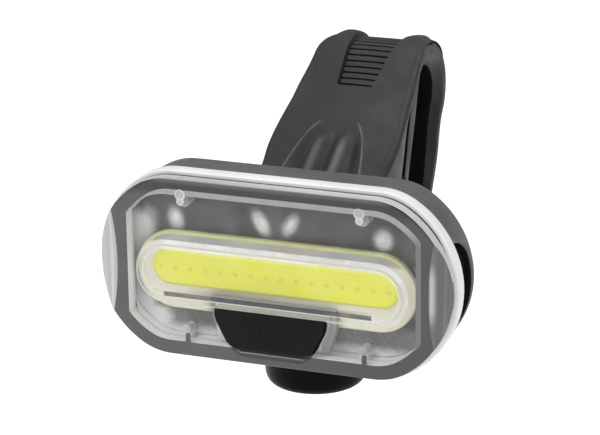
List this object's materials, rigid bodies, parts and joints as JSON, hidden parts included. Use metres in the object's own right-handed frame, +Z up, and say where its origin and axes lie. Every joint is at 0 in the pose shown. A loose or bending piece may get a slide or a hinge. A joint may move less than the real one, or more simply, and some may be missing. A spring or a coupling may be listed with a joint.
{
  "type": "bicycle headlight",
  "caption": "Oblong battery bicycle headlight with a clear cover over a yellow light strip, a push button, a swivel with a clamping knob and a flexible leaning handlebar loop.",
  "frame": {"origin": "middle of the handlebar loop, on the handlebar's axis", "axes": "+X along the handlebar, -Y the way the beam points, +Z up"},
  "size_m": [0.0744, 0.0768, 0.0625],
  "materials": {
    "clear_cover": "clear polished polycarbonate",
    "white_plastic": "satin white",
    "grey_plastic": "satin dark grey",
    "black_plastic": "satin black",
    "button_rubber": "matt black",
    "strap_rubber": "satin black",
    "cream_board": "pale solder mask",
    "green_board": "green solder mask",
    "phosphor": "yellow silicone phosphor",
    "cell_jacket": "plain jacket",
    "steel": "bright plated",
    "brass": "plain"
  },
  "bodies": {
    "mount": {"mount_base": "black_plastic", "strap_band": "strap_rubber", "pivot_bolt": "steel", "pivot_washer": "steel"},
    "strap_tail": {"strap_tail": "strap_rubber"},
    "knob": {"pivot_knob": "black_plastic", "knob_insert": "brass"},
    "head": {"rear_housing": "grey_plastic", "pivot_bush": "brass", "battery_upper": "cell_jacket", "battery_lower": "cell_jacket", "contact_springs": "steel", "contact_plates": "steel", "contact_bridge": "steel"},
    "front_unit": {"lens_cover": "clear_cover", "seal_ring": "white_plastic", "inner_tray": "grey_plastic", "tray_stakes": "white_plastic", "tray_screws": "steel", "led_board": "cream_board", "cob_phosphor": "phosphor", "driver_board": "green_board", "tact_switch": "black_plastic", "power_tabs": "brass"},
    "button": {"power_button": "button_rubber"}
  },
  "joints": [
    {"name": "head_pan", "type": "hinge", "parent": "mount", "child": "head", "pos_m": [0, -0.0352, -0.015], "axis": [0, 0, 1], "range_deg": [-20, 20]},
    {"name": "front_pull", "type": "slide", "parent": "head", "child": "front_unit", "axis": [0, -1, 0], "range_m": [0, 0.03]},
    {"name": "button_press", "type": "slide", "parent": "front_unit", "child": "button", "axis": [0, 1, 0], "range_m": [0, 0.0006], "stiffness_N_per_m": 2500},
    {"name": "knob_turn", "type": "hinge", "parent": "mount", "child": "knob", "pos_m": [0, -0.0352, -0.035], "axis": [0, 0, 1], "continuous": true},
    {"name": "strap_tail_swing", "type": "hinge", "parent": "mount", "child": "strap_tail", "pos_m": [0, -0.00569, -0.01944], "axis": [1, 0, 0], "range_deg": [0, 95], "stiffness_Nm_per_rad": 0.004}
  ]
}
